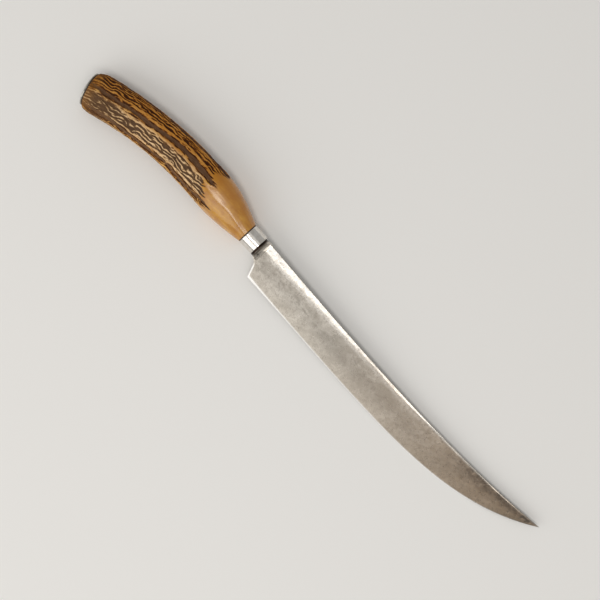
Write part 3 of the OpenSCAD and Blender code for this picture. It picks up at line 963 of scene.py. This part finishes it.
def white_metal_material(name, bright, dull):
    n = Nodes(name)
    where = n.place_in_mm()
    tarnish = n.noise(where, 0.5, 4, 0.6)
    base = n.mix(n.ramp(tarnish, (0.42, 0.0), (0.70, 0.7)), bright, dull)
    rough = n.ramp(n.noise(where, 1.1, 4, 0.7), (0.35, 0.08), (0.7, 0.20))
    wipe = n.noise(n.place_in_mm(scale=(4, 0.6, 0.6)), 1.2, 3, 0.7)
    n.set(Base_Color=base, Metallic=1.0, Roughness=rough, Normal=n.bump(wipe, 0.04, 0.0001))
    return n.material


def cement_material():
    n = Nodes("cutlers_cement")
    where = n.place_in_mm()
    grains = n.noise(where, 2.2, 4, 0.7)
    colour = n.mix(grains, (0.018, 0.010, 0.007), (0.06, 0.035, 0.022))
    rough = n.ramp(grains, (0.3, 0.55), (0.7, 0.85))
    n.set(Base_Color=colour, Roughness=rough, Normal=n.bump(grains, 0.3, 0.0003))
    return n.material


def spike_material():
    n = Nodes("drawn_steel")
    where = n.place_in_mm()
    grains = n.noise(where, 1.5, 4, 0.6)
    colour = n.mix(grains, (0.30, 0.27, 0.24), (0.5, 0.48, 0.45))
    n.set(Base_Color=colour, Metallic=1.0, Roughness=n.ramp(grains, (0.3, 0.35), (0.7, 0.55)))
    return n.material


def dress(node, material):
    """A CAD node that is shown as it is, with a material of its own."""
    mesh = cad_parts[node].data
    mesh.materials.clear()
    mesh.materials.append(material)


# ---- stage, light and camera ----

FLOOR_HALF = 6.0
# The camera looks straight down from this height in metres, this far from the knife's origin in millimetres
CAMERA_HEIGHT, CAMERA_OFFSET = 0.9, (37.3, -4.06)
CAMERA_TURN, SENSOR_WIDTH, LENS = 47, 36.0, 94.5
SKY_COLOUR, SKY_STRENGTH = (0.80, 0.79, 0.77, 1), 0.51


def make_floor():
    mesh = bpy.data.meshes.new("floor")
    corners = [(x * FLOOR_HALF, y * FLOOR_HALF, 0) for x, y in ((-1, -1), (1, -1), (1, 1), (-1, 1))]
    mesh.from_pydata(corners, [], [(0, 1, 2, 3)])
    floor = bpy.data.objects.new("floor", mesh)
    bpy.context.scene.collection.objects.link(floor)
    n = Nodes("pale_floor")
    n.set(Base_Color=(0.92, 0.91, 0.89, 1), Roughness=0.85)
    mesh.materials.append(n.material)


def area_light(name, azimuth, zenith, distance, width, height, radiance, colour):
    """A soft rectangular light that faces the knife. Azimuth 0 is on the edge's side, 90 beyond the tip."""
    data = bpy.data.lights.new(name, "AREA")
    data.shape, data.size, data.size_y = "RECTANGLE", width, height
    data.energy, data.color = 4 * width * height * radiance, colour
    light = bpy.data.objects.new(name, data)
    a, z = math.radians(azimuth), math.radians(zenith)
    back = Vector((math.sin(a) * math.sin(z), -math.cos(a) * math.sin(z), math.cos(z)))
    light.location = back * distance
    light.rotation_euler = (math.asin(-back.y), math.atan2(back.x, back.z), 0)
    light.visible_camera = False
    bpy.context.scene.collection.objects.link(light)


def make_lights():
    area_light("overhead_core", azimuth=30, zenith=15, distance=1.6, width=0.86, height=0.30,
               radiance=4.8, colour=(1.0, 0.97, 0.93))
    area_light("overhead_soft", azimuth=180, zenith=2, distance=1.7, width=1.2, height=1.2,
               radiance=0.25, colour=(1.0, 0.98, 0.95))
    area_light("side_window", azimuth=-20, zenith=62, distance=1.5, width=2.4, height=1.2,
               radiance=0.9, colour=(1.0, 0.985, 0.96))
    world = bpy.data.worlds.new("studio")
    world.use_nodes = True
    sky = world.node_tree.nodes["Background"]
    sky.inputs["Color"].default_value = SKY_COLOUR
    sky.inputs["Strength"].default_value = SKY_STRENGTH
    bpy.context.scene.world = world


def make_camera():
    """Straight down on the knife, with its axis turned to run from the upper left to the lower right."""
    data = bpy.data.cameras.new("camera")
    data.sensor_width = SENSOR_WIDTH
    data.lens = LENS
    camera = bpy.data.objects.new("camera", data)
    over_x, over_y = LIE_AT.x + CAMERA_OFFSET[0], LIE_AT.y + CAMERA_OFFSET[1]
    camera.location = Vector((over_x * MM, over_y * MM, CAMERA_HEIGHT))
    camera.rotation_euler = (0, 0, math.radians(CAMERA_TURN))
    bpy.context.scene.collection.objects.link(camera)
    bpy.context.scene.camera = camera


make_handle()
make_blade()
make_ferrule()
make_cap()
cement = cement_material()
dress("tang_cement", cement)
dress("cap_cement", cement)
dress("cap_spike", spike_material())
make_floor()
make_lights()
make_camera()
bpy.context.scene.view_settings.view_transform = "Standard"
